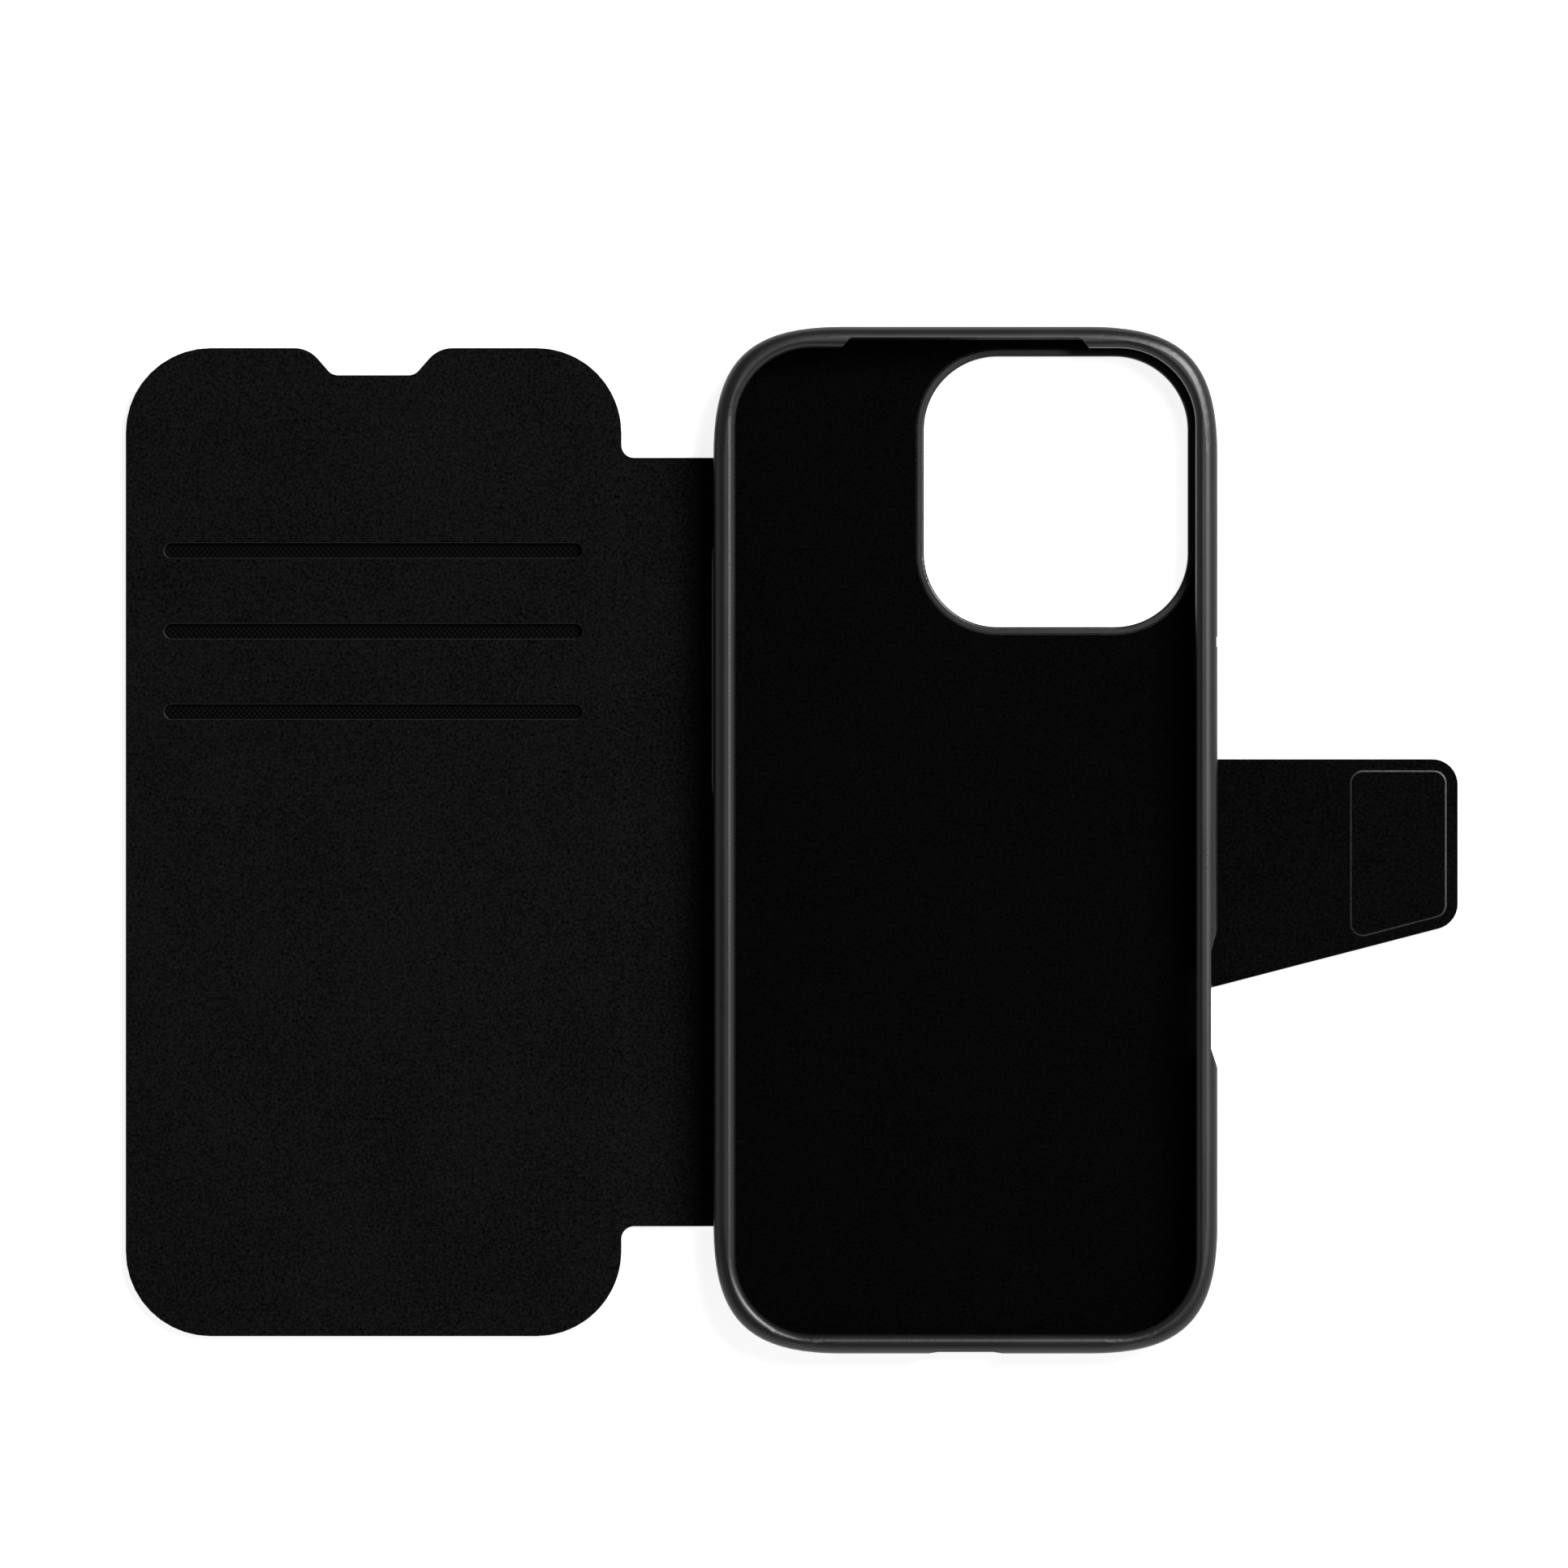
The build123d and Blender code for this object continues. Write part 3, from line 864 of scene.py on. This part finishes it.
def window_ring():
    """The hole in the leather that the camera guard sits in, run clockwise."""
    low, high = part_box("camera_guard")
    return outline(rectangle(low, high, arc(WINDOW_CORNER)))[::-1]


def outer_leather():
    """The outside of the cover: one sheet of leather under flap, spine, shell and strap."""
    shell_low, shell_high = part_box("bumper_frame")
    spine_low, spine_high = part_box("spine_skin")
    back_low, back_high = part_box("back_skin")
    right = shell_high.x - SKIN_INSET
    left = shell_low.x + SKIN_INSET
    strap_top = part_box("strap_tab_skin")[1].y
    flap_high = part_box("flap_lining")[1]
    shell_bend = eased(SKIN_INSET)
    step = arc(STEP_ROUND)
    tight = arc(TONGUE_ROUND)
    corners = flap_corners()
    corners += [
        (flap_high.x, spine_low.y, step),
        (left, spine_low.y, sharp),
        (left, back_low.y, shell_bend),
        (right, back_low.y, shell_bend),
        (right, strap_low(right), tight),
        *strap_corners(),
        (right, strap_top, tight),
        (right, back_high.y, shell_bend),
        (left, back_high.y, shell_bend),
        (left, spine_high.y, sharp),
        (flap_high.x, spine_high.y, step),
    ]

    def under(x, y):
        return RIPPLE + ripple(x, y, 3.0)

    rings = [ring_of(corners), window_ring()]
    folds = (FLAP_FOLD, ROOT_FOLD, STRAP_FOLD, TIP_FOLD)
    sheet = Sheet("leather", rings, under, level(back_high.z), SKIN_EDGE, folds=folds)
    whole = sheet.finish(LEATHER)
    parts = [
        divided(whole, "leather_flap", None, SPINE_SPLIT),
        divided(whole, "leather_back", SPINE_SPLIT, SHELL_SPLIT),
        divided(whole, "leather_strap_root", SHELL_SPLIT, STRAP_SPLIT),
        divided(whole, "leather_strap_tip", STRAP_SPLIT, None),
    ]
    bpy.data.objects.remove(whole)
    flap, back, root, tip = parts
    fold(flap, ["flap_skin"])
    fold(back, ["spine_skin", "back_skin"])
    fold(root, ["strap_bridge_skin"])
    fold(tip, ["strap_tab_skin"])
    return parts


def seat_lining():
    """The microfibre that the phone lies on, painted darker than the flap lining: painted shade for
    the shell's deep well.
    """
    low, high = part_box("seat_lining")
    rings = [ring_of(rectangle(low, high, eased(SEAT_INSET))), window_ring()]

    def over(x, y):
        return high.z - RIPPLE + ripple(x, y, 4.0)

    seat = Sheet("seat_sheet", rings, level(low.z), over, SEAT_EDGE).finish(SEAT_WITH_PAINTED_SHADE)
    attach(seat, "phone_shell")
    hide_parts("seat_lining")
    return seat


def card_pocket(node_name):
    """The woven sheet behind one card slot."""
    low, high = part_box(node_name)
    ring = outline(rectangle(low, high, arc(POCKET_CORNER)))
    sheet = Sheet(node_name + "_weave", [ring], level(low.z), level(high.z), POCKET_EDGE)
    pocket = sheet.finish(WEAVE)
    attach(pocket, "cover_flap")
    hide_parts(node_name)


def half_surface(piece):
    """The area of one side of a thin closed sheet."""
    return sum(p.area for p in piece.data.polygons) / 2


def declare_sheet(piece):
    """Works out the area of a flat-cut sheet from its mesh and its outline's box; the area is not
    used.
    """
    xs = [v.co.x for v in piece.data.vertices]
    ys = [v.co.y for v in piece.data.vertices]
    flat = (max(xs) - min(xs), max(ys) - min(ys))
    area = min(half_surface(piece), flat[0] * flat[1])


# ---------------------------------------------------------------- studio


def camera():
    """A long lens far above the case, which looks straight down."""
    data = bpy.data.cameras.new("camera")
    data.sensor_width = SENSOR
    data.lens = SENSOR * CAMERA_HEIGHT / FRAME_WIDTH
    made = bpy.data.objects.new("camera", data)
    made.location = (*VIEW_CENTRE, CAMERA_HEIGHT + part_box("flap_lining")[1].z)
    bpy.context.scene.collection.objects.link(made)
    bpy.context.scene.camera = made


def soft_light(name, location, size, power):
    """A rectangular softbox that looks at the case and isn't seen itself."""
    data = bpy.data.lights.new(name, "AREA")
    data.shape = "RECTANGLE"
    data.size, data.size_y = size
    data.energy = power
    light = bpy.data.objects.new(name, data)
    light.location = location
    light.rotation_mode = "QUATERNION"
    light.rotation_quaternion = (-Vector(location)).to_track_quat("-Z", "Y")
    light.visible_camera = False
    bpy.context.scene.collection.objects.link(light)


def sky():
    """Studio surroundings: bright near the floor, dim overhead, dimmest at the back and left."""
    world = bpy.data.worlds.new("studio")
    world.use_nodes = True
    tree = world.node_tree
    background = tree.nodes["Background"]
    ways = node(tree, "ShaderNodeTexCoord").outputs["Generated"]
    split = node(tree, "ShaderNodeSeparateXYZ", {"Vector": ways})
    up = split.outputs["Z"]
    tone = ramp(tree, up, [(0.0, 1.0), (0.45, 0.75), (0.75, 0.1), (1.0, 0.06)])
    front = math_of(tree, "MULTIPLY", split.outputs["Y"], SKY_TO_THE_BACK)
    right = math_of(tree, "MULTIPLY", split.outputs["X"], SKY_TO_THE_RIGHT)
    sides = math_of(tree, "ADD", front, right)
    strength = math_of(tree, "ADD", sides, SKY_STRENGTH)
    tree.links.new(tone, background.inputs["Color"])
    tree.links.new(strength, background.inputs["Strength"])
    bpy.context.scene.world = world


def floor():
    """The table, a hair below the case."""
    mesh = bpy.data.meshes.new("floor")
    h = FLOOR_HALF
    z = -FLOOR_DROP
    mesh.from_pydata([(-h, -h, z), (h, -h, z), (h, h, z), (-h, h, z)], [], [(0, 1, 2, 3)])
    mesh.materials.append(paper_floor())
    made = bpy.data.objects.new("floor", mesh)
    bpy.context.scene.collection.objects.link(made)


bpy.context.scene.view_settings.view_transform = "Standard"
camera()
soft_light("key", KEY_PLACE, KEY_SIZE, KEY_POWER)
sky()
floor()
dress_cad()
lining_flap, lining_spine = flap_and_spine_lining()
declare_sheet(lining_flap)
declare_sheet(lining_spine)
lining_root, lining_tip = strap_lining()
declare_sheet(lining_root)
declare_sheet(lining_tip)
for sheet_piece in outer_leather():
    declare_sheet(sheet_piece)
declare_sheet(seat_lining())
for pocket_name in ("card_pocket_top", "card_pocket_middle", "card_pocket_bottom"):
    card_pocket(pocket_name)
